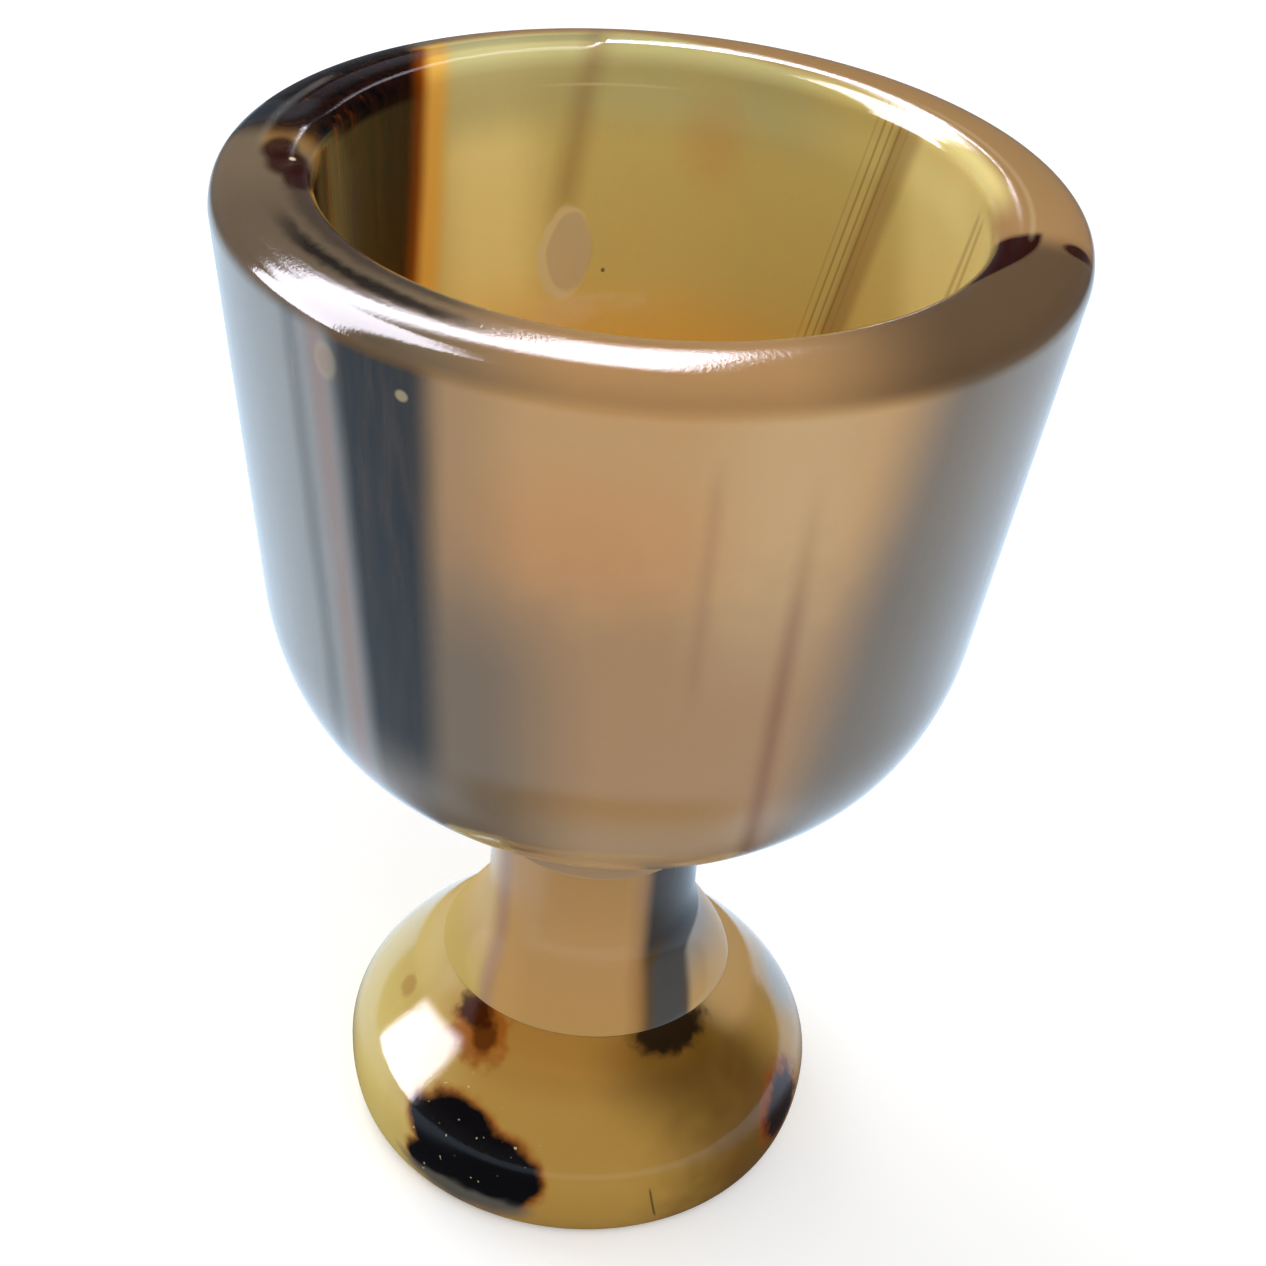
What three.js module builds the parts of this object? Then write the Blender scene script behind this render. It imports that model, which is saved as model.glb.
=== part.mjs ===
// A small stemmed drinking cup turned from polished horn, in millimetres.
// It stands on z = 0 with +Z up, and every piece is turned about the z axis.
// The stem carries a round tenon at each end. One tenon is glued into a blind socket
// under the bowl, the other into a blind socket in the crown of the foot.

import * as THREE from 'three';

// Foot, from the table up
const footEdgeHeight = 3.9; // table to the widest line of the foot
const footDomeRise = 7.8; // widest line to the shoulder that the stem stands on
const footDomeWidth = 5.55; // flared end of the stem to the widest line
const footEdgeTuck = 1.45; // widest line in to the edge that touches the table
const standingRingWidth = 2.6; // flat ring that the cup stands on
const baseHollow = 0.6; // depth of the shallow hollow inside the standing ring
const footFloor = 4.6; // horn left between that hollow and the lower socket

// Stem, between its two shoulders
const stemRadius = 6.3;
const stemLength = 10.1;
const flareWidth = 2.6; // how far the lower end spreads beyond the stem
const flareHeight = 6.2; // height over which it spreads
const upperTenonRadius = 3.2;
const lowerTenonRadius = 3.8;
const glueGap = 0.1; // room for glue around each tenon and beyond its end

// Bowl, from its lower shoulder up
const bossProud = 0.15; // how far the boss stands out past the stem
const bossHeight = 5.9; // lower shoulder to the lowest point of the belly
const bossFilletWidth = 2.8; // reach of the fillet between boss and belly
const bellyHeight = 11.8; // lowest point of the belly to the foot of the wall
const wallHeight = 23.4; // foot of the wall to the top of the lip
const wallTaper = 2.6; // how far the outer wall draws in on its way down
const wallThickness = 4.25; // at the foot of the wall
const tenonReach = 2.0; // how far the upper tenon passes the lowest point of the belly
const bowlFloor = 3.2; // horn left between the upper socket and the inside
const hollowRound = 9.2; // height over which the inside rounds from its floor into its wall

// Lip
const rimRadius = 22.5; // the cup's largest radius
const lipOuterWidth = 3.2; // outer wall to the highest line of the lip
const lipInnerWidth = 2.05; // highest line of the lip to the inner wall
const lipOuterDrop = 2.0; // height of the rounding outside that line
const lipInnerDrop = 1.2; // height of the rounding inside it

// Shapes of the curves: each handle as a share of the width or height it runs along
const lipEdgeShare = 0.7;
const lipTopShare = 0.72;
const bellySideShare = 0.69;
const bellyUnderShare = 0.43;
const hollowSideShare = 0.62;
const hollowFloorShare = 0.55;
const filletShare = 0.6;
const flareNeckShare = 0.5;
const flareFootWidthShare = 0.67;
const flareFootHeightShare = 0.51;
const domeTopWidthShare = 0.25;
const domeTopHeightShare = 0.275;
const domeSideShare = 0.42;
const footEdgeShare = 0.59;
const dishShare = 0.4;

// Fineness of the turned surfaces
const turnSteps = 64;
const curveSteps = 6;

// Sizes worked out from those above
const footHeight = footEdgeHeight + footDomeRise;
const flaredRadius = stemRadius + flareWidth;
const footRadius = flaredRadius + footDomeWidth;
const standRadius = footRadius - footEdgeTuck;
const hollowRadius = standRadius - standingRingWidth;
const lowerSocketFloor = baseHollow + footFloor;
const bowlSeat = footHeight + stemLength;
const bossRadius = stemRadius + bossProud;
const bellyLow = bowlSeat + bossHeight;
const upperSocketTop = bellyLow + tenonReach + glueGap;
const wallLow = bellyLow + bellyHeight;
const lipTop = wallLow + wallHeight;
const wallLowRadius = rimRadius - wallTaper;
const crownRadius = rimRadius - lipOuterWidth;
const mouthRadius = crownRadius - lipInnerWidth;
const hollowFloor = upperSocketTop + bowlFloor;
const hollowWallLow = hollowFloor + hollowRound;
const hollowLowRadius = wallLowRadius - wallThickness;

const hornAmber = { color: 0xb08a48, roughness: 0.22, metalness: 0 };
const hornTan = { color: 0xa98a66, roughness: 0.2, metalness: 0 };
const hornGrey = { color: 0x93826c, roughness: 0.2, metalness: 0 };

// The outline is drawn on a lathe's plan: radius across, height up. It starts and ends on the axis.
function turned(name, outline, finish) {
  const geometry = new THREE.LatheGeometry(outline.getPoints(curveSteps), turnSteps);
  geometry.rotateX(Math.PI / 2);
  const mesh = new THREE.Mesh(geometry, new THREE.MeshStandardMaterial(finish));
  mesh.name = name;
  return mesh;
}

// Domed disc with a flat shoulder and a socket on top, and a shallow hollow under it
function makeFoot() {
  const outline = new THREE.Path();
  outline.moveTo(0, baseHollow);
  outline.bezierCurveTo(
    hollowRadius * dishShare, baseHollow,
    hollowRadius - hollowRadius * dishShare, baseHollow * dishShare,
    hollowRadius, 0,
  );
  outline.lineTo(standRadius, 0);
  outline.bezierCurveTo(
    standRadius + footEdgeTuck * footEdgeShare, 0,
    footRadius, footEdgeHeight - footEdgeHeight * footEdgeShare,
    footRadius, footEdgeHeight,
  );
  outline.bezierCurveTo(
    footRadius, footEdgeHeight + footDomeRise * domeSideShare,
    flaredRadius + footDomeWidth * domeTopWidthShare, footHeight - footDomeRise * domeTopHeightShare,
    flaredRadius, footHeight,
  );
  outline.lineTo(lowerTenonRadius + glueGap, footHeight);
  outline.lineTo(lowerTenonRadius + glueGap, lowerSocketFloor);
  outline.lineTo(0, lowerSocketFloor);
  return turned('foot', outline, hornAmber);
}

// Column that spreads at its lower end, between a lower and an upper tenon
function makeStem() {
  const outline = new THREE.Path();
  outline.moveTo(0, lowerSocketFloor + glueGap);
  outline.lineTo(lowerTenonRadius, lowerSocketFloor + glueGap);
  outline.lineTo(lowerTenonRadius, footHeight);
  outline.lineTo(flaredRadius, footHeight);
  outline.bezierCurveTo(
    flaredRadius - flareWidth * flareFootWidthShare, footHeight + flareHeight * flareFootHeightShare,
    stemRadius, footHeight + flareHeight - flareHeight * flareNeckShare,
    stemRadius, footHeight + flareHeight,
  );
  outline.lineTo(stemRadius, bowlSeat);
  outline.lineTo(upperTenonRadius, bowlSeat);
  outline.lineTo(upperTenonRadius, upperSocketTop - glueGap);
  outline.lineTo(0, upperSocketTop - glueGap);
  return turned('stem', outline, hornTan);
}

// Thick-walled round-bottomed bowl on a short boss that takes the upper tenon
function makeBowl() {
  const outerHandle = bellyHeight * bellySideShare;
  const outerLean = outerHandle * wallTaper / wallHeight;
  const innerHandle = hollowRound * hollowSideShare;
  const innerLean = innerHandle * (mouthRadius - hollowLowRadius) / (lipTop - hollowWallLow);
  const bossEdge = bossRadius + bossFilletWidth;
  const outline = new THREE.Path();
  outline.moveTo(0, upperSocketTop);
  outline.lineTo(upperTenonRadius + glueGap, upperSocketTop);
  outline.lineTo(upperTenonRadius + glueGap, bowlSeat);
  outline.lineTo(bossRadius, bowlSeat);
  outline.bezierCurveTo(
    bossRadius, bowlSeat + bossHeight * filletShare,
    bossEdge - bossFilletWidth * filletShare, bellyLow,
    bossEdge, bellyLow,
  );
  outline.bezierCurveTo(
    bossEdge + (wallLowRadius - bossEdge) * bellyUnderShare, bellyLow,
    wallLowRadius - outerLean, wallLow - outerHandle,
    wallLowRadius, wallLow,
  );
  outline.lineTo(rimRadius, lipTop - lipOuterDrop);
  outline.bezierCurveTo(
    rimRadius, lipTop - lipOuterDrop + lipOuterDrop * lipEdgeShare,
    crownRadius + lipOuterWidth * lipTopShare, lipTop,
    crownRadius, lipTop,
  );
  outline.bezierCurveTo(
    crownRadius - lipInnerWidth * lipTopShare, lipTop,
    mouthRadius, lipTop - lipInnerDrop + lipInnerDrop * lipEdgeShare,
    mouthRadius, lipTop - lipInnerDrop,
  );
  outline.lineTo(hollowLowRadius, hollowWallLow);
  outline.bezierCurveTo(
    hollowLowRadius - innerLean, hollowWallLow - innerHandle,
    hollowLowRadius * hollowFloorShare, hollowFloor,
    0, hollowFloor,
  );
  return turned('bowl', outline, hornGrey);
}

const cup = new THREE.Group();
cup.name = 'stemmed_cup';
cup.add(makeFoot(), makeStem(), makeBowl());

export default cup;
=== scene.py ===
"""A small stemmed drinking cup turned from polished horn, dressed round its frame."""

import math

import bpy
from mathutils import Matrix, Vector
from mathutils.geometry import interpolate_bezier


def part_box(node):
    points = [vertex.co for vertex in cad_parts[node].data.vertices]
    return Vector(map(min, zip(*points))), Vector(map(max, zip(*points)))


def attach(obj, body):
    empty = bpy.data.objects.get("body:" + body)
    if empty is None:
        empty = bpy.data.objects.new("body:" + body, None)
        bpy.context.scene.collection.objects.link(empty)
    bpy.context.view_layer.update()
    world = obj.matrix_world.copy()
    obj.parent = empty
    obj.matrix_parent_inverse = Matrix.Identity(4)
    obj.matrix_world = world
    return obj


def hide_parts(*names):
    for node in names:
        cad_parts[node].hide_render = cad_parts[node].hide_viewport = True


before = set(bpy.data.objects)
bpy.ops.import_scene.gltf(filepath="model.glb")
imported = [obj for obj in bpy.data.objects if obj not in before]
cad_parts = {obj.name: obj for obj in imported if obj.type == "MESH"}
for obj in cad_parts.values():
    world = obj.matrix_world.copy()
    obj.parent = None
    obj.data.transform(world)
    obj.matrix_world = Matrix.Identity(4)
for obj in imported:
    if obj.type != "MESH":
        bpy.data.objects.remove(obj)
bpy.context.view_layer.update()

bl_info = {
    "name": "Horn Stemmed Cup",
    "version": (1, 0, 0),
    "blender": (4, 5, 0),
    "location": "View3D > Sidebar > Horn Cup",
    "description": "Turns a stemmed cup from three pieces of polished horn and stands it on a pale floor",
    "category": "Add Mesh",
}

MM = 0.001
SOFT_EDGE = 0.3
WHITE = (1, 1, 1, 1)


def length(name, description, size):
    """A length property, given in millimetres and kept in metres."""
    return bpy.props.FloatProperty(
        name=name, description=description, default=size * MM, min=0, unit="LENGTH", subtype="DISTANCE"
    )


def share(name, description, part):
    """A handle of a curve, as a share of the width or height that it runs along."""
    return bpy.props.FloatProperty(
        name=name, description=description, default=part, min=0, max=1, subtype="FACTOR"
    )


def angle(name, description, degrees):
    """An angle property, given in degrees."""
    return bpy.props.FloatProperty(
        name=name, description=description, default=math.radians(degrees), unit="ROTATION", subtype="ANGLE"
    )


def linear(red, green, blue):
    """A screen colour of 0 to 255 as the linear colour that shaders take."""
    parts = (part / 255 for part in (red, green, blue))
    return tuple(part / 12.92 if part <= 0.04045 else ((part + 0.055) / 1.055) ** 2.4 for part in parts)


def tint(name, description, red, green, blue):
    """A colour property, given as a screen colour of 0 to 255."""
    return bpy.props.FloatVectorProperty(
        name=name, description=description, default=linear(red, green, blue), min=0, max=1, subtype="COLOR"
    )


class HornCupSizes(bpy.types.PropertyGroup):
    """Sizes of the three turned pieces that their boxes in the frame don't give."""

    foot_edge_height: length("Foot edge height", "Table to the widest line of the foot", 3.9)
    foot_edge_tuck: length("Foot edge tuck", "Widest line in to the edge on the table", 1.45)
    standing_ring: length("Standing ring", "Width of the flat ring that the cup stands on", 2.6)
    base_hollow: length("Base hollow", "Depth of the hollow inside the standing ring", 0.6)
    stem_radius: length("Stem radius", "Radius of the stem above its flared end", 6.3)
    flare_height: length("Flare height", "Height over which the stem spreads", 6.2)
    upper_tenon_radius: length("Upper tenon", "Radius of the tenon in the bowl", 3.2)
    lower_tenon_radius: length("Lower tenon", "Radius of the tenon in the foot", 3.8)
    glue_gap: length("Glue gap", "Room for glue round each tenon and beyond its end", 0.1)
    boss_proud: length("Boss proud", "How far the boss stands out past the stem", 0.15)
    boss_height: length("Boss height", "Lower shoulder to the lowest point of the belly", 5.9)
    boss_fillet: length("Boss fillet", "Reach of the fillet between boss and belly", 2.8)
    belly_height: length("Belly height", "Lowest point of the belly to the foot of the wall", 11.8)
    wall_taper: length("Wall taper", "How far the outer wall draws in on its way down", 2.6)
    wall_thickness: length("Wall thickness", "Thickness at the foot of the wall", 4.25)
    bowl_floor: length("Bowl floor", "Horn left between the upper socket and the inside", 3.2)
    hollow_height: length("Inside rounding", "Height over which the inside rounds into its wall", 9.2)
    lip_outer_width: length("Outer lip", "Outer wall to the highest line of the lip", 3.2)
    lip_inner_width: length("Inner lip", "Highest line of the lip to the inner wall", 2.05)
    lip_outer_drop: length("Outer lip drop", "Height of the rounding outside that line", 2.0)
    lip_inner_drop: length("Inner lip drop", "Height of the rounding inside that line", 1.2)
    worn_edge: length("Worn edge", "Rounding on the edges that meet at a glued joint", 0.06)
    edge_guard: length("Edge guard", "How near a loop keeps the rounding of the stem's upper edge", 0.25)
    lip_edge: share("Lip edge", "Handle up the side of the lip", 0.7)
    lip_crown: share("Lip crown", "Handle across the top of the lip", 0.72)
    belly_side: share("Belly side", "Handle down the side of the belly", 0.69)
    belly_under: share("Belly under", "Handle across the underside of the belly", 0.43)
    hollow_side: share("Hollow side", "Handle down the inside wall", 0.62)
    hollow_floor: share("Hollow floor", "Handle across the inside floor", 0.55)
    boss_round: share("Boss round", "Handles of the fillet above the boss", 0.6)
    flare_neck: share("Flare neck", "Handle down the stem into its flare", 0.5)
    flare_foot_width: share("Flare foot width", "Handle at the wide end of the flare, across", 0.67)
    flare_foot_height: share("Flare foot height", "Handle at the wide end of the flare, upward", 0.51)
    dome_top_width: share("Dome top width", "Handle at the top of the foot's dome, across", 0.25)
    dome_top_height: share("Dome top height", "Handle at the top of the foot's dome, downward", 0.275)
    dome_side: share("Dome side", "Handle up from the widest line of the foot", 0.42)
    foot_edge: share("Foot edge", "Handles of the rounding under the widest line", 0.59)
    dish: share("Dish", "Handles of the hollow under the foot", 0.4)


class HornCupColours(bpy.types.PropertyGroup):
    """Colours of the horn, from its clearest parts to its darkest bands, and of the light and shade painted
    on it.
    """

    tan: tint("Tan", "Outside of the bowl, and the stem", 200, 158, 103)
    fawn: tint("Fawn", "Lower part of the bowl and the front of its lip", 174, 136, 91)
    caramel: tint("Caramel", "Back of the lip", 170, 134, 88)
    peach: tint("Peach", "Warm clouds in the bowl", 202, 142, 82)
    olive: tint("Olive", "Inside of the bowl, halfway down", 212, 192, 118)
    sage: tint("Sage", "Inside of the bowl, under the lip", 186, 180, 128)
    straw: tint("Straw", "Clearest horn inside the bowl", 240, 222, 150)
    # Honey at the dark band's edge inside the bowl is partly a painted glow of light through the horn.
    honey: tint("Honey", "Floor of the bowl and thin edges", 232, 180, 84)
    amber: tint("Amber", "Clear horn of the foot", 180, 142, 70)
    # Umber is painted shade: the right of the foot, away from the lamps, and the soft shade under the joint
    # on its right.
    painted_shade_umber: tint("Umber", "Shaded horn of the foot", 92, 60, 12)
    # Cream also paints light: the stem's left edge, glints on the lip and the inside wall, and a reflected
    # line along the lip's crown.
    cream: tint("Cream", "Palest edges of the stem and the marks", 224, 206, 160)
    # This wheat is painted light on the left of the foot and of the stem's flare, the side towards the window
    # lamp.
    painted_light_wheat: tint("Wheat", "Palest edges of the foot", 224, 206, 128)
    # Grey also paints the floor's reflection along the foot's lower edge.
    grey: tint("Grey", "Cloudy band", 104, 100, 92)
    taupe: tint("Taupe", "Brownish shade beside the dark bands", 120, 104, 84)
    # Slate is partly painted reflection: the pale blue-grey mirrored on the bowl's left and down the stem's
    # right edge.
    slate: tint("Slate", "Cool layers left of the dark band", 156, 160, 162)
    mauve: tint("Mauve", "Pinkish streaks", 160, 130, 122)
    # Rust at the dark band's edge inside the bowl is partly a painted glow as well.
    rust: tint("Rust", "Edges of the dark bands", 146, 70, 6)
    brown: tint("Brown", "Thin streaks", 138, 92, 56)
    dusk: tint("Dusk", "Shaded horn of the lip", 70, 57, 47)
    # Maroon also paints a shadow line along the right of the lip's inner edge.
    maroon: tint("Maroon", "Dark red stains", 46, 10, 4)
    # Black also paints a dark reflection just inside the lip's highlight.
    black: tint("Black", "Dark bands and patches", 12, 10, 12)


class HornCupStage(bpy.types.PropertyGroup):
    """Where the camera stands, and the floor."""

    lens: bpy.props.FloatProperty(
        name="Lens", description="Focal length on a 36 mm sensor",
        default=68.28, min=1, subtype="DISTANCE_CAMERA",
    )
    pitch: angle("Camera pitch", "How far the view looks down from level", 33.934)
    roll: angle("Camera roll", "Tilt of the view", 5.122)
    shift: bpy.props.FloatVectorProperty(
        name="Lens shift", description="Shift of the lens that frames the cup",
        default=(0.0198, -0.0011), size=2,
    )
    camera_place: bpy.props.FloatVectorProperty(
        name="Camera place", description="Where the camera stands",
        default=(-0.38 * MM, -113.95 * MM, 111.47 * MM), unit="LENGTH", subtype="TRANSLATION",
    )
    floor_side: length("Floor side", "Side of the square floor", 6000)


class Outline:
    """Half of a turned section, across along x and up along z, from the axis back to the axis."""

    def __init__(self, radius, height):
        self.places = [Vector((radius, 0, height))]

    def line(self, radius, height):
        """Runs straight to a place."""
        self.places.append(Vector((radius, 0, height)))

    def curve(self, leaving, arriving, end, steps=20):
        """Runs along a curve whose two handles are places."""
        handles_and_end = (Vector((radius, 0, height)) for radius, height in (leaving, arriving, end))
        self.places += interpolate_bezier(self.places[-1], *handles_and_end, steps + 1)[1:]


def turn(name, outline, steps=192):
    """Draws an outline vertex by vertex and spins it round the upright axis into a closed solid."""
    places = outline.places
    bpy.ops.object.select_all(action="DESELECT")
    bpy.ops.mesh.primitive_plane_add(size=MM, location=places[0])
    piece = bpy.context.object
    piece.name = name
    piece.data.name = name
    bpy.ops.object.transform_apply(location=True, rotation=False, scale=False)
    bpy.ops.object.mode_set(mode="EDIT")
    bpy.ops.mesh.select_mode(type="VERT")
    bpy.ops.mesh.select_all(action="SELECT")
    bpy.ops.mesh.merge(type="CENTER")
    for place, following in zip(places, places[1:]):
        bpy.ops.mesh.extrude_region_move(TRANSFORM_OT_translate={"value": following - place})
    bpy.ops.mesh.select_all(action="SELECT")
    bpy.ops.mesh.spin(steps=steps, angle=math.tau, center=(0, 0, 0), axis=(0, 0, 1))
    bpy.ops.mesh.select_all(action="SELECT")
    bpy.ops.mesh.remove_doubles(threshold=MM / 1000)
    bpy.ops.mesh.normals_make_consistent(inside=False)
    bpy.ops.object.mode_set(mode="OBJECT")
    return piece


def wear_ring(piece, radius, height, width):
    """Rounds off the sharp ring of edges that lies at a radius and a height."""
    near = MM / 100
    bpy.ops.object.mode_set(mode="EDIT")
    bpy.ops.mesh.select_mode(type="EDGE")
    bpy.ops.mesh.select_all(action="DESELECT")
    bpy.ops.object.mode_set(mode="OBJECT")
    on_ring = [
        abs(vertex.co.xy.length - radius) < near and abs(vertex.co.z - height) < near
        for vertex in piece.data.vertices
    ]
    for edge in piece.data.edges:
        edge.select = all(on_ring[end] for end in edge.vertices)
    bpy.ops.object.mode_set(mode="EDIT")
    bpy.ops.mesh.bevel(offset=width, segments=3, affect="EDGES")
    bpy.ops.object.mode_set(mode="OBJECT")


def put_in_place(piece, material, node):
    """Smooths a piece, gives it its finish, and lets it stand for its solid in the frame."""
    bpy.ops.object.shade_smooth_by_angle(angle=math.radians(35))
    piece.data.materials.append(material)
    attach(piece, "root")
    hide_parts(node)


class Level:
    """A number that varies over a surface: a shader socket that takes part in sums."""

    def __init__(self, finish, socket):
        self.finish = finish
        self.socket = socket

    def __add__(self, other):
        return self.finish.maths("ADD", self, other)

    def __sub__(self, other):
        return self.finish.maths("SUBTRACT", self, other)

    def __rsub__(self, other):
        return self.finish.maths("SUBTRACT", other, self)

    def __mul__(self, other):
        return self.finish.maths("MULTIPLY", self, other)

    __radd__ = __add__
    __rmul__ = __mul__


class Finish:
    """A node tree, with short ways to add its nodes."""

    def __init__(self, tree):
        self.tree = tree
        tree.nodes.clear()

    def node(self, kind, settings=None, sockets=None):
        """Adds a node, sets its settings, and then values or links on its sockets."""
        node = self.tree.nodes.new(kind)
        for name, value in (settings or {}).items():
            setattr(node, name, value)
        for name, value in (sockets or {}).items():
            value = value.socket if isinstance(value, Level) else value
            if isinstance(value, bpy.types.NodeSocket):
                self.tree.links.new(value, node.inputs[name])
            else:
                node.inputs[name].default_value = value
        return node

    def level(self, node, output=0):
        """An output of a node, as a number for sums."""
        return Level(self, node.outputs[output])

    def maths(self, operation, *values):
        """A Math node on numbers or levels."""
        return self.level(self.node("ShaderNodeMath", {"operation": operation}, dict(enumerate(values))))

    def vector(self, operation, *values):
        """A Vector Math node on vectors."""
        return self.node("ShaderNodeVectorMath", {"operation": operation}, dict(enumerate(values)))

    def noise(self, vector, scale, detail):
        """A soft random level about zero."""
        sockets = {"Vector": vector, "Scale": scale, "Detail": detail}
        return self.level(self.node("ShaderNodeTexNoise", None, sockets)) - 0.5

    def rise(self, value, low, high):
        """Climbs smoothly from 0 to 1 while a level goes from low to high, which may be the smaller."""
        sockets = {"Value": value, "From Min": low, "From Max": high}
        return self.level(self.node("ShaderNodeMapRange", {"interpolation_type": "SMOOTHSTEP"}, sockets))

    def band(self, value, low, high, soft):
        """1 between two levels, with soft edges."""
        return self.rise(value, low - soft, low + soft) * self.rise(value, high + soft, high - soft)

    def over(self, below, above, cover):
        """Lays one colour over another, by how far it covers."""
        sockets = {0: cover, 6: opaque(below), 7: opaque(above)}
        return self.node("ShaderNodeMix", {"data_type": "RGBA"}, sockets).outputs[2]

    def mix(self, share, first, second):
        """Mixes two shaders, by the share of the second."""
        return self.node("ShaderNodeMixShader", None, {0: share, 1: first.outputs[0], 2: second.outputs[0]})

    def mirrored(self, ray):
        """1 for rays that polish mirrors or lets through, from a Light Path node."""
        return self.maths("MAXIMUM", ray.outputs["Is Glossy Ray"], ray.outputs["Is Transmission Ray"])


def opaque(colour):
    """A colour socket as it is, or three numbers with a fourth for full cover."""
    return colour if isinstance(colour, bpy.types.NodeSocket) else (*colour, 1)


class HornFinish(Finish):
    """A horn material. Its levels x, y, z and radius are places on the cup, in millimetres."""

    def __init__(self, name):
        self.material = bpy.data.materials.new(name)
        self.material.use_nodes = True
        super().__init__(self.material.node_tree)
        coordinates = self.node("ShaderNodeTexCoord").outputs["Object"]
        self.place = self.vector("MULTIPLY", coordinates, (1 / MM,) * 3).outputs[0]
        split = self.node("ShaderNodeSeparateXYZ", None, {0: self.place})
        self.x, self.y, self.z = (self.level(split, axis) for axis in range(3))
        level_place = self.vector("MULTIPLY", self.place, (1, 1, 0)).outputs[0]
        self.radius = self.level(self.vector("LENGTH", level_place), 1)
        self.mottle = self.fibre(0.5, 0.5, detail=1)
        self.ragged = self.fibre(1.3, 1.3, detail=4)

    def fibre(self, across, along, detail=2, seed=0):
        """A soft random level about zero, drawn out where it is finer across than along the horn."""
        stretched = self.vector("MULTIPLY_ADD", self.place, (across, across, along), (seed,) * 3).outputs[0]
        return self.noise(stretched, 1, detail)

    def nearness(self, place, reach):
        """1 at a place, 0 on an ellipsoid round it and less beyond."""
        offset = self.vector("SUBTRACT", self.place, place).outputs[0]
        return 1 - self.level(self.vector("LENGTH", self.vector("DIVIDE", offset, reach).outputs[0]), 1)

    def spot(self, place, reach, soft):
        """1 within an ellipsoid round a place, with a soft edge."""
        return self.rise(self.nearness(place, reach), -soft, soft)

    def stain(self, place, reach):
        """A spot with a ragged edge."""
        return self.rise(self.nearness(place, reach) + 0.9 * self.ragged, -SOFT_EDGE, SOFT_EDGE)

    def polish(self, colour, matt, relief=0):
        """Ends the material in polished, translucent horn of a colour, dulled where matt, over a relief."""
        grain = self.fibre(5, 0.25, detail=3, seed=31) + 0.5 * self.fibre(0.35, 0.12, seed=7)
        raised = {"Strength": 1, "Distance": 0.006 * MM, "Height": grain + relief}
        bump = self.node("ShaderNodeBump", None, raised)
        shader = self.node("ShaderNodeBsdfPrincipled", {"subsurface_method": "RANDOM_WALK"}, {
            "Base Color": colour,
            "Roughness": 0.09,
            "IOR": 1.54,
            "Subsurface Weight": 0.5,
            "Subsurface Radius": (1.0, 0.6, 0.3),
            "Subsurface Scale": 1.2 * MM,
            "Normal": bump.outputs[0],
        })
        unpolished = {"Base Color": colour, "Roughness": 1, "Specular IOR Level": 0}
        dull = self.node("ShaderNodeBsdfPrincipled", None, unpolished)
        surface = self.mix(matt, shader, dull)
        self.node("ShaderNodeOutputMaterial", None, {"Surface": surface.outputs[0]})
        return self.material


def outside_horn(horn, colours, layer):
    """Colour of the bowl's outer wall, before its dark layer."""
    x, z = horn.x, horn.z
    front = horn.rise(horn.y, 0, -5)
    colour = horn.over(colours.tan, colours.fawn, horn.rise(z + 4 * horn.mottle, 56, 47))
    colour = horn.over(colour, colours.peach, 0.5 * horn.spot((-1.8, -21, 54), (6, 8, 3.4), 0.8))
    colour = horn.over(colour, colours.cream, 0.2 * horn.band(x, 4.4, 10.5, 2.5) * horn.rise(z, 43, 50))
    colour = horn.over(colour, colours.cream, 0.35 * horn.rise(z, 38, 34))
    colour = horn.over(colour, colours.mauve, 0.3 * horn.rise(z, 37.5, 34.5))
    colour = horn.over(colour, colours.taupe, 0.9 * horn.rise(layer, -3, -9.5) * horn.rise(z, 53, 44))
    colour = horn.over(colour, colours.taupe, 0.35 * horn.rise(layer, -6.5, -10.5))
    colour = horn.over(colour, colours.grey, 0.85 * horn.rise(layer - 0.19 * (z - 52), 7.2, 12))
    streak = x + 0.028 * (60 - z)
    deep = front * horn.rise(z, 60, 42)
    colour = horn.over(colour, colours.brown, 0.85 * deep * horn.band(streak, 8.25, 8.95, 0.55))
    faint = front * horn.band(x, 3.6, 4.2, 0.4) * horn.band(z, 45, 58, 2)
    return horn.over(colour, colours.brown, 0.25 * faint)


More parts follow.
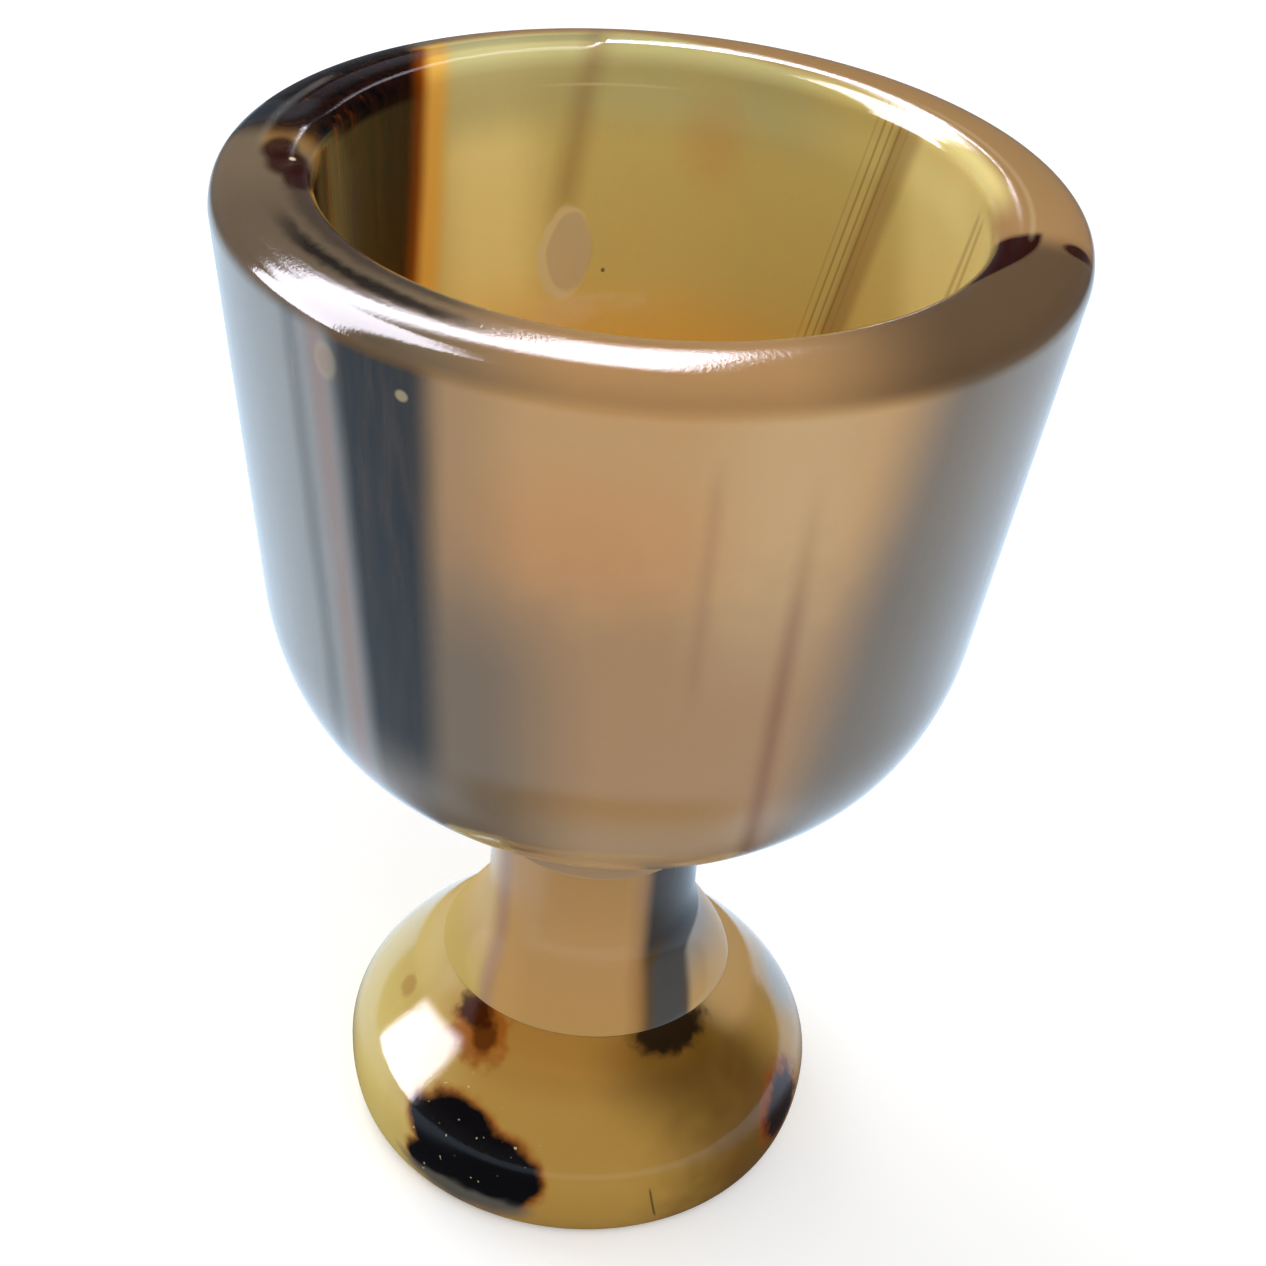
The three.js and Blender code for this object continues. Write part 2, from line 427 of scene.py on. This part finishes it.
def inside_horn(horn, colours, layer):
    """Colour of the bowl's inside, before its dark layer."""
    x, y, z = horn.x, horn.y, horn.z
    colour = horn.over(colours.olive, colours.straw, horn.band(layer, -10, -4.6, 2))
    colour = horn.over(colour, colours.straw, 0.9 * horn.rise(layer, 15, 16.4))
    colour = horn.over(colour, colours.sage, 0.7 * horn.rise(z, 57, 60.5) * horn.rise(x, 12, 6))
    colour = horn.over(colour, colours.honey, 0.8 * horn.rise(z, 51, 44))
    colour = horn.over(colour, colours.peach, 0.3 * horn.spot((3.1, 17, 58.2), (1.6, 4, 2.4), 0.8))
    streak = horn.band(x - 0.13 * (z - 55), -5.7, -4.4, 0.8) * horn.rise(z, 51, 55)
    colour = horn.over(colour, colours.brown, 0.4 * streak)
    line = x - 0.2 * (z - 61.7)
    colour = horn.over(colour, colours.brown, 0.45 * horn.band(line, 12.9, 14.1, 0.3))
    combed = horn.rise(horn.maths("SINE", 16 * line), 0.3, 1) * horn.band(line, 11.9, 13.4, 0.2)
    colour = horn.over(colour, colours.brown, 0.5 * combed * horn.rise(y, 4, 8))
    pair = y + 0.27 * (z - 60)
    for place in (2.3, 3.1):
        ends = horn.rise(x, 12, 14) * horn.rise(z, 61.5, 60.5)
        thin = horn.band(pair, place - 0.18, place + 0.18, 0.22)
        colour = horn.over(colour, colours.brown, 0.45 * ends * thin)
    oval = horn.nearness((-4.9, 15.7, 50.9), (1.5, 4, 2.7)) + 0.5 * horn.mottle
    colour = horn.over(colour, colours.cream, 0.85 * horn.rise(oval, -0.1, 0.06))
    colour = horn.over(colour, colours.mauve, 0.3 * horn.rise(oval + 0.15 * (x + 4.9), 0.1, 0.25))
    # Painted highlight: a thin light line along the far inside wall, just under the lip.
    painted_glint = horn.band(z, 60.8, 60.95, 0.06) * horn.band(x, -6.5, 0.5, 1.5)
    return horn.over(colour, colours.cream, 0.5 * painted_glint)


def lip_horn(horn, colours, layer):
    """Colour of the rounded top of the bowl's lip, before its dark layer."""
    x, y, radius = horn.x, horn.y, horn.radius
    colour = horn.over(colours.fawn, colours.caramel, horn.rise(y, -3, 5))
    colour = horn.over(colour, colours.taupe, horn.rise(layer, -4, -13))
    colour = horn.over(colour, colours.dusk, 0.35 * horn.rise(layer, -11, -14.5) * horn.rise(y, -2, -9))
    colour = horn.over(colour, colours.dusk, 0.8 * horn.rise(layer, 4, 13) * horn.rise(y, -2.5, -5.5))
    # Painted reflection: a black ring just inside the lip's highlight, where the polish would mirror a dark
    # part of the room.
    ring = horn.band(radius + 0.6 * horn.ragged, 19.45, 20.25, 0.3) * horn.rise(y, -7, -10)
    colour = horn.over(colour, colours.black, 0.85 * ring * horn.band(layer, -18, -10, 1.5))
    inner = horn.rise(layer, -8, -11.5) * horn.rise(y, -3, -5)
    edge = horn.rise(radius + 0.6 * horn.ragged, 19.2, 18.4)
    colour = horn.over(colour, colours.dusk, 0.8 * inner * edge)
    thin = inner * horn.rise(layer, -13, -15) * horn.rise(radius, 17.75, 17.45)
    colour = horn.over(colour, colours.honey, 0.6 * thin)
    # A maroon wedge stain on the right of the lip, running on as a painted shadow line along the lip's inner
    # edge.
    wedge = horn.rise(radius - 1.9 * horn.rise(y, -11, -4), 17.8, 17.5) * horn.rise(x, 9, 12)
    return horn.over(colour, colours.maroon, wedge * horn.rise(y - 0.35 * (radius - 17.5), -3.4, -4.2))


def bowl_horn(colours):
    """Horn of the bowl: upright layers that run through its wall from front to back."""
    horn = HornFinish("bowl_horn")
    x, y, z = horn.x, horn.y, horn.z
    layer = x + 0.132 * y + 0.056 * (z - 50) + 0.6 * horn.fibre(0.12, 0.05, seed=3)
    fine = horn.fibre(1.6, 0.03, detail=4, seed=11)
    wall_middle = 17.8 + 0.107 * (z - 41)
    inside = horn.rise(horn.radius, wall_middle + 0.4, wall_middle - 0.4) * horn.rise(z, 31.8, 32.4)
    back_edge = horn.rise(y, -2, 4) * horn.rise(horn.radius + 1.9 * horn.rise(x, -3, 7), 20.6, 19.6)
    lip = horn.rise(z, 60.9, 61.9) * (1 - back_edge)
    near_lip = lip * horn.rise(y, 3, 0)

    colour = horn.over(outside_horn(horn, colours, layer), inside_horn(horn, colours, layer), inside)
    colour = horn.over(colour, lip_horn(horn, colours, layer), lip)

    within = inside * (1 - lip)
    left = layer + 0.05 * (z - 52)
    side = (1 - inside) * (1 - lip) * horn.rise(left, -14.8, -16)
    edge = layer - 0.08 * inside * (z - 58)
    ending = 1 - (1 - inside) * horn.rise(z, 39.5, 33) * 0.85
    # The amber and rust edge of the dark band inside is partly the horn's colour and partly a painted glow of
    # light through the horn.
    colour = horn.over(colour, colours.honey, within * horn.rise(edge, -9.3, -10.4))
    colour = horn.over(colour, colours.rust, within * horn.rise(edge, -10.6, -11.5))
    dark = horn.rise(edge + 0.3 * fine, -10.5 - 0.5 * inside, -12.4 + 0.2 * inside)
    colour = horn.over(colour, colours.black, dark * ending * (1 - near_lip) * (0.97 + 0.2 * fine))
    streaky = horn.rise(horn.fibre(1.1, 0.05, seed=19), 0.1, 0.3)
    colour = horn.over(colour, colours.rust, 0.5 * within * streaky * horn.rise(layer, -13.6, -14.6))
    # Partly painted reflection: the pale blue-grey of the bowl's left is its cool layers together with the
    # pale room mirrored in its polish.
    colour = horn.over(colour, colours.slate, 0.95 * side)
    colour = horn.over(colour, colours.mauve, 0.6 * side * horn.band(left, -16.5, -15.6, 0.4))
    colour = horn.over(colour, colours.black, 0.35 * side * horn.band(left, -17.6, -16.9, 0.3))
    colour = horn.over(colour, colours.slate, 0.3 * side * horn.rise(fine, 0.05, 0.2))
    hidden = side * horn.rise(y, -5, 0)
    clouds = horn.rise(horn.fibre(0.22, 0.07, seed=23), -0.08, 0.16)
    colour = horn.over(colour, colours.taupe, 0.4 * hidden * clouds)
    grain = horn.rise(horn.fibre(0.9, 0.04, seed=29), 0.02, 0.2)
    colour = horn.over(colour, colours.tan, 0.15 * hidden * grain)

    marks = (
        ((21.0, -4.3, 62.4), (0.75, 0.65, 2), colours.maroon, 0.95),
        ((-19.0, -1.0, 62.6), (0.9, 1.5, 2), colours.maroon, 0.9),
        ((-18.3, -2.6, 62.6), (1.1, 1.6, 2), colours.maroon, 0.9),
        ((-17.5, -4.0, 62.6), (0.8, 1.5, 2), colours.maroon, 0.9),
        # A painted glint on the dark red spot of the lip.
        ((-18.2, -2.0, 62.6), (0.16, 0.2, 2), colours.cream, 1),
        ((-14.3, -17.2, 59.8), (0.6, 1, 1), colours.cream, 0.25),
        ((-14.3, -17.2, 59.8), (0.4, 1, 0.7), colours.mauve, 0.4),
        ((-10.5, -19.8, 59.7), (0.3, 1, 0.3), colours.cream, 0.45),
        ((17.5, -8.8, 37.3), (0.3, 0.5, 0.4), colours.brown, 0.85),
        ((8.9, 14.9, 51.2), (0.15, 1, 0.2), colours.cream, 0.85),
        ((-2.6, 16.2, 49.7), (0.12, 1, 0.14), colours.black, 0.7),
    )
    for place, reach, tone, cover in marks:
        colour = horn.over(colour, tone, cover * horn.spot(place, reach, SOFT_EDGE))
    # Painted reflection: a thin pale line along the crown of the lip, on its right.
    painted_crown_reflection = horn.band(horn.radius, 18.95, 19.2, 0.12) * horn.rise(x, 13, 15.5) * horn.rise(y, -4.5, -3)
    colour = horn.over(colour, colours.cream, 0.25 * painted_crown_reflection)
    back_lip = horn.rise(z, 58.5, 61.7) * horn.rise(y, 2, 6)
    worn = horn.rise(x, -3.4, -4.8)
    dip = worn * (horn.maths("MINIMUM", horn.radius, 19.6) - 17.4)
    dip = dip + (1 - worn) * horn.maths("MAXIMUM", 18.5 - horn.radius, 0)
    matt = 0.9 * worn * horn.rise(y, 2, 6) * horn.rise(z, 61.2, 61.8) * horn.rise(horn.radius, 18.9, 18.4)
    return horn.polish(colour, matt, relief=-35 * back_lip * dip)


def stem_horn(colours):
    """Horn of the stem: one dark band up its right side and a thin cloudy streak up its left."""
    horn = HornFinish("stem_horn")
    x, y, z = horn.x, horn.y, horn.z
    front = horn.rise(y, 3, 0)
    spread = 0.1 * horn.rise(z, 16, 11.7)
    across = x - spread * x + 0.5 * horn.fibre(0.3, 0.08, seed=5)
    flare = horn.rise(z, 15.5, 12)
    # Painted light: the stem's left edge and the left of its flare are made paler, on the side that faces the
    # window lamp.
    left = horn.rise(across, -4.9, -6.2)
    colour = horn.over(colours.tan, colours.amber, flare * (0.3 + 0.6 * left))
    colour = horn.over(colour, colours.cream, 0.6 * left * (1 - flare))
    colour = horn.over(colour, colours.painted_light_wheat, 0.45 * left * flare)
    colour = horn.over(colour, colours.mauve, 0.55 * front * horn.band(across, -5.6, -4.9, 0.4))
    colour = horn.over(colour, colours.brown, 0.4 * front * horn.band(across, 2.7, 3.5, 0.6))
    low = horn.rise(z, 16.5, 14.5)
    right = flare * horn.rise(across, 5.4, 6.2)
    # Painted reflection: a pale blue-grey veil down the stem's right edge, where the polish mirrors the
    # floor.
    painted_veil = front * horn.rise(across + 1.2 * low, 4.6, 5.6) * (1 - right)
    colour = horn.over(colour, colours.slate, 0.9 * painted_veil)
    colour = horn.over(colour, colours.cream, 0.15 * right)
    dark = horn.rise(across, 2.9, 3.9) * horn.rise(across + 1.5 * low, 7.7, 7.2)
    colour = horn.over(colour, colours.black, (0.95 - 0.2 * low) * front * dark)
    matt = horn.rise(z, 20, 16) * (0.5 + 0.47 * horn.rise(x, -3, -4.5))
    return horn.polish(colour, matt)


def foot_horn(colours):
    """Horn of the foot: amber with a black patch and ragged stains."""
    horn = HornFinish("foot_horn")
    x, y, z = horn.x, horn.y, horn.z
    # Painted shade and light: the foot is darkened towards its right and lightened towards its left, as if
    # lit from the left.
    shade = horn.rise(x + 3 * horn.mottle, 3.5, 11) * horn.rise(y, -2, -7)
    colour = horn.over(colours.amber, colours.painted_shade_umber, 0.85 * shade)
    colour = horn.over(colour, colours.painted_light_wheat, 0.75 * horn.rise(x + 2 * horn.mottle, -5, -13))
    colour = horn.over(colour, colours.slate, 0.8 * horn.spot((12.4, 2.6, 7.4), (1.5, 3, 2), 0.5))
    colour = horn.over(colour, colours.rust, 0.35 * horn.spot((0, -9, 11.6), (9, 4, 2.4), 0.6))
    # Painted shade: a soft umber shadow on the foot below its joint with the stem, on the right.
    colour = horn.over(colour, colours.painted_shade_umber, 0.75 * horn.spot((6.2, -8.2, 10), (4, 4, 3), 0.7))
    colour = horn.over(colour, colours.cream, 0.35 * horn.rise(z, 9, 11.5) * horn.rise(y, -6.5, -3.5))
    warm = horn.rise(z, 8.5, 10.5) * horn.rise(x, 5, 8) * horn.rise(y, -6, -3.5)
    colour = horn.over(colour, colours.tan, 0.7 * warm)

    lobes = (
        ((-6.6, -10.8, 5.4), (3.2, 4, 2.5)),
        ((-4.4, -12.7, 4.2), (3.2, 4, 2.6)),
        ((-6.4, -12, 3.4), (3.6, 4, 2.2)),
    )
    nearness = [horn.nearness(place, reach) for place, reach in lobes]
    patch = horn.maths("MAXIMUM", horn.maths("MAXIMUM", *nearness[:2]), nearness[2])
    patch = patch + 0.4 * horn.mottle + 0.15 * horn.ragged
    colour = horn.over(colour, colours.rust, 0.75 * horn.rise(patch, -0.18, 0.02))
    colour = horn.over(colour, colours.black, horn.rise(patch, -0.08, 0.1))
    # Painted reflection: the pale floor mirrored along the lower edge of the foot's black patch, in grey.
    painted_floor_reflection = horn.rise(z + 1.5 * horn.mottle, 2.9, 2.1) * horn.rise(x, -1, -3) * horn.rise(patch, -0.5, -0.1)
    colour = horn.over(colour, colours.grey, 0.8 * painted_floor_reflection)

    stains = (
        ((-5.9, -7.9, 10.6), (1.9, 2.3, 1.9), colours.rust, 0.75),
        ((-6.4, -7.0, 11.2), (1.4, 1.4, 0.8), colours.maroon, 0.9),
        ((-5.6, -8.3, 10.4), (0.8, 1.2, 0.9), colours.maroon, 0.7),
        ((5.6, -7.4, 11.3), (2.6, 2.6, 1.0), colours.black, 0.9),
        ((12.9, -6.2, 5.0), (1.6, 3.1, 2.6), colours.rust, 0.9),
        ((13.1, -6.4, 4.8), (1.3, 2.8, 2.2), colours.black, 0.95),
        ((-10.7, -3.1, 9.2), (0.8, 0.8, 0.6), colours.rust, 0.35),
    )
    for place, reach, tone, cover in stains:
        colour = horn.over(colour, tone, cover * horn.stain(place, reach))
    specks = horn.rise(horn.fibre(3.2, 3.2, detail=0, seed=17), 0.31, 0.35) * horn.rise(patch, -0.5, -0.2)
    colour = horn.over(colour, colours.cream, 0.7 * specks)
    crack = horn.band(x - 0.19 * (4.2 - z), 5.02, 5.14, 0.05) * horn.band(z, 1.6, 4.2, 0.3)
    colour = horn.over(colour, colours.black, 0.7 * crack * horn.rise(y, -10, -12))
    matt = 0.97 * horn.rise(z, 9.4, 10.1) + 0.7 * horn.rise(z, 6.5, 4.5) * horn.rise(y, -2, -6)
    return horn.polish(colour, matt)


class HORNCUP_OT_turn_foot(bpy.types.Operator):
    """Turn the domed foot with its socket and the hollow under it"""

    bl_idname = "horn_cup.turn_foot"
    bl_label = "Turn Foot"

    def execute(self, context):
        sizes = context.scene.horn_cup_sizes
        stem_low, stem_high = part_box("stem")
        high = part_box("foot")[1]
        shoulder = stem_high.x
        width, rise = high.x - shoulder, high.z - sizes.foot_edge_height
        stand = high.x - sizes.foot_edge_tuck
        hollow = stand - sizes.standing_ring
        socket, socket_floor = sizes.lower_tenon_radius + sizes.glue_gap, stem_low.z - sizes.glue_gap
        outline = Outline(0, sizes.base_hollow)
        outline.curve(
            (hollow * sizes.dish, sizes.base_hollow),
            (hollow * (1 - sizes.dish), sizes.base_hollow * sizes.dish),
            (hollow, 0),
        )
        outline.line(stand, 0)
        outline.curve(
            (stand + sizes.foot_edge_tuck * sizes.foot_edge, 0),
            (high.x, sizes.foot_edge_height * (1 - sizes.foot_edge)),
            (high.x, sizes.foot_edge_height),
        )
        outline.curve(
            (high.x, sizes.foot_edge_height + rise * sizes.dome_side),
            (shoulder + width * sizes.dome_top_width, high.z - rise * sizes.dome_top_height),
            (shoulder, high.z),
            steps=32,
        )
        outline.line(socket, high.z)
        outline.line(socket, socket_floor)
        outline.line(0, socket_floor)
        foot = turn("turned_foot", outline)
        wear_ring(foot, shoulder, high.z, sizes.worn_edge)
        put_in_place(foot, foot_horn(context.scene.horn_cup_colours), "foot")
        return {"FINISHED"}


class HORNCUP_OT_turn_stem(bpy.types.Operator):
    """Turn the stem with its flared lower end and a tenon at each end"""

    bl_idname = "horn_cup.turn_stem"
    bl_label = "Turn Stem"

    def execute(self, context):
        sizes = context.scene.horn_cup_sizes
        low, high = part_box("stem")
        foot_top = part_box("foot")[1].z
        bowl_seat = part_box("bowl")[0].z
        spread = high.x - sizes.stem_radius
        neck = foot_top + sizes.flare_height
        outline = Outline(0, low.z)
        outline.line(sizes.lower_tenon_radius, low.z)
        outline.line(sizes.lower_tenon_radius, foot_top)
        outline.line(high.x, foot_top)
        wide_end = foot_top + sizes.flare_height * sizes.flare_foot_height
        outline.curve(
            (high.x - spread * sizes.flare_foot_width, wide_end),
            (sizes.stem_radius, neck - sizes.flare_height * sizes.flare_neck),
            (sizes.stem_radius, neck),
        )
        outline.line(sizes.stem_radius, bowl_seat - sizes.edge_guard)
        outline.line(sizes.stem_radius, bowl_seat)
        outline.line(sizes.upper_tenon_radius, bowl_seat)
        outline.line(sizes.upper_tenon_radius, high.z)
        outline.line(0, high.z)
        stem = turn("turned_stem", outline)
        wear_ring(stem, high.x, foot_top, sizes.worn_edge)
        wear_ring(stem, sizes.stem_radius, bowl_seat, sizes.worn_edge)
        put_in_place(stem, stem_horn(context.scene.horn_cup_colours), "stem")
        return {"FINISHED"}


class HORNCUP_OT_turn_bowl(bpy.types.Operator):
    """Turn the thick-walled bowl with its rounded lip, and the boss and socket under it"""

    bl_idname = "horn_cup.turn_bowl"
    bl_label = "Turn Bowl"

    def execute(self, context):
        sizes = context.scene.horn_cup_sizes
        low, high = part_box("bowl")
        socket, socket_top = sizes.upper_tenon_radius + sizes.glue_gap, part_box("stem")[1].z + sizes.glue_gap
        boss = sizes.stem_radius + sizes.boss_proud
        boss_edge = boss + sizes.boss_fillet
        belly_low = low.z + sizes.boss_height
        wall_low = belly_low + sizes.belly_height
        wall_low_radius = high.x - sizes.wall_taper
        outer_handle = sizes.belly_height * sizes.belly_side
        outer_lean = outer_handle * sizes.wall_taper / (high.z - wall_low)
        crown = high.x - sizes.lip_outer_width
        mouth = crown - sizes.lip_inner_width
        floor = socket_top + sizes.bowl_floor
        hollow_low = floor + sizes.hollow_height
        hollow_radius = wall_low_radius - sizes.wall_thickness
        inner_handle = sizes.hollow_height * sizes.hollow_side
        inner_lean = inner_handle * (mouth - hollow_radius) / (high.z - hollow_low)
        outline = Outline(0, socket_top)
        outline.line(socket, socket_top)
        outline.line(socket, low.z)
        outline.line(boss, low.z)
        outline.curve(
            (boss, low.z + sizes.boss_height * sizes.boss_round),
            (boss_edge - sizes.boss_fillet * sizes.boss_round, belly_low),
            (boss_edge, belly_low),
        )
        outline.curve(
            (boss_edge + (wall_low_radius - boss_edge) * sizes.belly_under, belly_low),
            (wall_low_radius - outer_lean, wall_low - outer_handle),
            (wall_low_radius, wall_low),
            steps=40,
        )
        outline.line(high.x, high.z - sizes.lip_outer_drop)
        outline.curve(
            (high.x, high.z - sizes.lip_outer_drop * (1 - sizes.lip_edge)),
            (crown + sizes.lip_outer_width * sizes.lip_crown, high.z),
            (crown, high.z),
        )
        outline.curve(
            (crown - sizes.lip_inner_width * sizes.lip_crown, high.z),
            (mouth, high.z - sizes.lip_inner_drop * (1 - sizes.lip_edge)),
            (mouth, high.z - sizes.lip_inner_drop),
        )
        outline.line(hollow_radius, hollow_low)
        outline.curve(
            (hollow_radius - inner_lean, hollow_low - inner_handle),
            (hollow_radius * sizes.hollow_floor, floor),
            (0, floor),
            steps=40,
        )
        bowl = turn("turned_bowl", outline)
        wear_ring(bowl, boss, low.z, sizes.worn_edge)
        put_in_place(bowl, bowl_horn(context.scene.horn_cup_colours), "bowl")
        return {"FINISHED"}


def place_camera(stage):
    """Puts the camera where the cup was seen from, turned and rolled as it was held."""
    pitch, roll = stage.pitch, stage.roll
    back = Vector((0, -math.cos(pitch), math.sin(pitch)))
    right = Vector((1, 0, 0))
    up = back.cross(right)
    across = math.cos(roll) * right + math.sin(roll) * up
    upward = math.cos(roll) * up - math.sin(roll) * right
    turned = Matrix((across, upward, back)).transposed().to_4x4()
    lens = bpy.data.cameras.new("camera")
    lens.lens = stage.lens
    lens.sensor_width = 36
    lens.shift_x, lens.shift_y = stage.shift
    lens.clip_start = MM
    lens.clip_end = 10
    camera = bpy.data.objects.new("camera", lens)
    camera.matrix_world = Matrix.Translation(stage.camera_place) @ turned
    bpy.context.collection.objects.link(camera)
    bpy.context.scene.camera = camera


def hang_softbox(name, place, target, width, height, power):
    """Hangs a soft rectangular lamp at a place, facing a target."""
    lamp = bpy.data.lights.new(name, "AREA")
    lamp.shape = "RECTANGLE"
    lamp.size = width
    lamp.size_y = height
    lamp.energy = power
    box = bpy.data.objects.new(name, lamp)
    facing = (place - target).to_track_quat("Z", "Y").to_matrix().to_4x4()
    box.matrix_world = Matrix.Translation(place) @ facing
    box.visible_camera = False
    box.visible_glossy = False
    bpy.context.collection.objects.link(box)


def light_world():
    """Lights the stage evenly, shows white behind it, and gives polish a dim room with one window."""
    world = bpy.data.worlds.new("studio")
    world.use_nodes = True
    bpy.context.scene.world = world
    sky = Finish(world.node_tree)
    ray = sky.node("ShaderNodeLightPath")
    direction = sky.node("ShaderNodeTexCoord").outputs["Generated"]
    way = sky.node("ShaderNodeSeparateXYZ", None, {0: direction})
    bearing = math.degrees(1) * sky.maths("ARCTAN2", sky.level(way, 0), sky.level(way, 1))
    height = math.degrees(1) * sky.maths("ARCSINE", sky.level(way, 2))
    ragged = sky.noise(direction, 45, 2)
    slope = 0.8 * sky.maths("MAXIMUM", -48 - bearing, 0)
    sill = sky.rise(height + slope + 12 * sky.rise(bearing, -9, 0) + 20 * ragged, 39, 42)
    right = sky.rise(sky.level(way, 0), 0.07, 0.03) * sky.rise(bearing, 60, 40)
    top = sky.rise(height + 12 * sky.rise(bearing, -60, -45), 70, 60)
    wide = sill * top * sky.rise(bearing, -106, -98) * right
    low = sky.band(bearing, -103, -71, 1) * sky.rise(height + 0.48 * (bearing + 71), 19, 16)
    daylight = opaque(linear(242, 240, 255))
    ceiling = sky.node("ShaderNodeBackground", None, {"Color": daylight, "Strength": 0.03})
    walls = sky.node("ShaderNodeBackground", None, {"Color": daylight, "Strength": 0.13})
    window = sky.node("ShaderNodeBackground", None, {"Color": daylight, "Strength": 18.1})
    even = sky.node("ShaderNodeBackground", None, {"Color": WHITE, "Strength": 0.64})
    white = sky.node("ShaderNodeBackground", None, {"Color": WHITE, "Strength": 1})
    room = sky.mix(sky.rise(height, 20, 0), ceiling, walls)
    room = sky.mix(sky.maths("MAXIMUM", low, wide), room, window)
    lit = sky.mix(sky.mirrored(ray), even, room)
    shown = sky.mix(ray.outputs["Is Camera Ray"], lit, white)
    sky.node("ShaderNodeOutputWorld", None, {"Surface": shown.outputs[0]})


def floor_paint():
    """Pale floor that looks white where it is lit, keeps the cup's shadow, and fades in its polish."""
    material = bpy.data.materials.new("pale_floor")
    material.use_nodes = True
    floor = Finish(material.node_tree)
    ray = floor.node("ShaderNodeLightPath")
    place = floor.node("ShaderNodeTexCoord").outputs["Object"]
    away = floor.level(floor.vector("LENGTH", place), 1)
    along = floor.level(floor.node("ShaderNodeSeparateXYZ", None, {0: place}), 1)
    # In the cup's polish the floor shows painted light and shade: dark in an oval in front of the cup, round
    # its foot and far off, and bright between.
    before = floor.vector("MULTIPLY_ADD", place, (1 / 0.024, 1 / 0.014, 0), (0, 2, 0)).outputs[0]
    near = floor.rise(floor.level(floor.vector("LENGTH", before), 1), 0.7, 1.4)
    behind = floor.rise(along, -0.02, 0.03)
    close = floor.rise(away, 0.018 - 0.008 * behind, 0.034 - 0.014 * behind)
    bright = close * floor.rise(away, 0.35, 0.08) * (0.654 * near + 0.346 * behind)
    matt = floor.node("ShaderNodeBsdfDiffuse", None, {"Color": (0.8, 0.8, 0.8, 1)})
    glow = floor.node("ShaderNodeEmission", None, {"Color": WHITE, "Strength": 0.3})
    lifted = floor.node("ShaderNodeAddShader", None, {0: matt.outputs[0], 1: glow.outputs[0]})
    lit = floor.mix(ray.outputs["Is Camera Ray"], matt, lifted)
    pale_blue = opaque(linear(212, 234, 255))
    shaded = floor.node("ShaderNodeEmission", None, {"Color": pale_blue, "Strength": 0.13})
    sunny = floor.node("ShaderNodeEmission", None, {"Color": pale_blue, "Strength": 1.43})
    shown = floor.mix(floor.mirrored(ray), lit, floor.mix(bright, shaded, sunny))
    floor.node("ShaderNodeOutputMaterial", None, {"Surface": shown.outputs[0]})
    return material


class HORNCUP_OT_set_stage(bpy.types.Operator):
    """Lay the floor, hang the lamps and place the camera"""

    bl_idname = "horn_cup.set_stage"
    bl_label = "Set Stage"

    def execute(self, context):
        stage = context.scene.horn_cup_stage
        context.scene.view_settings.view_transform = "Standard"
        bpy.ops.object.select_all(action="DESELECT")
        bpy.ops.mesh.primitive_plane_add(size=stage.floor_side)
        floor = context.object
        floor.name = "floor"
        floor.data.materials.append(floor_paint())
        place_camera(stage)
        light_world()
        mouth = Vector((0, 0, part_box("bowl")[1].z))
        behind_left = mouth + Vector((-0.27, 0.23, 0.35))
        before_right = mouth + Vector((0.12, -0.27, 0.42))
        hang_softbox("window_light", behind_left, mouth, width=0.4, height=0.3, power=1.1)
        hang_softbox("front_light", before_right, mouth, width=0.4, height=0.3, power=0.9)
        return {"FINISHED"}


PIECE_OPERATORS = (HORNCUP_OT_turn_foot, HORNCUP_OT_turn_stem, HORNCUP_OT_turn_bowl)


class HORNCUP_PT_sidebar(bpy.types.Panel):
    """Sidebar panel that lists the pieces, the stage and their settings"""

    bl_idname = "HORNCUP_PT_sidebar"
    bl_label = "Horn Cup"
    bl_space_type = "VIEW_3D"
    bl_region_type = "UI"
    bl_category = "Horn Cup"

    def draw(self, context):
        layout = self.layout
        for operator in (HORNCUP_OT_set_stage, *PIECE_OPERATORS):
            layout.operator(operator.bl_idname)
        scene = context.scene
        for group in (scene.horn_cup_sizes, scene.horn_cup_colours, scene.horn_cup_stage):
            column = layout.column()
            for name in type(group).__annotations__:
                column.prop(group, name)


CLASSES = (
    HornCupSizes, HornCupColours, HornCupStage, HORNCUP_OT_set_stage, *PIECE_OPERATORS, HORNCUP_PT_sidebar
)


def register():
    """Registers the classes, and keeps the settings on the scene."""
    for kind in CLASSES:
        bpy.utils.register_class(kind)
    bpy.types.Scene.horn_cup_sizes = bpy.props.PointerProperty(type=HornCupSizes)
    bpy.types.Scene.horn_cup_colours = bpy.props.PointerProperty(type=HornCupColours)
    bpy.types.Scene.horn_cup_stage = bpy.props.PointerProperty(type=HornCupStage)


def unregister():
    """Removes the settings and the classes."""
    del bpy.types.Scene.horn_cup_stage
    del bpy.types.Scene.horn_cup_colours
    del bpy.types.Scene.horn_cup_sizes
    for kind in reversed(CLASSES):
        bpy.utils.unregister_class(kind)


def main():
    """Makes the stage and the pieces."""
    register()
    bpy.ops.horn_cup.set_stage()
    bpy.ops.horn_cup.turn_foot()
    bpy.ops.horn_cup.turn_stem()
    bpy.ops.horn_cup.turn_bowl()


if __name__ == "__main__":
    main()
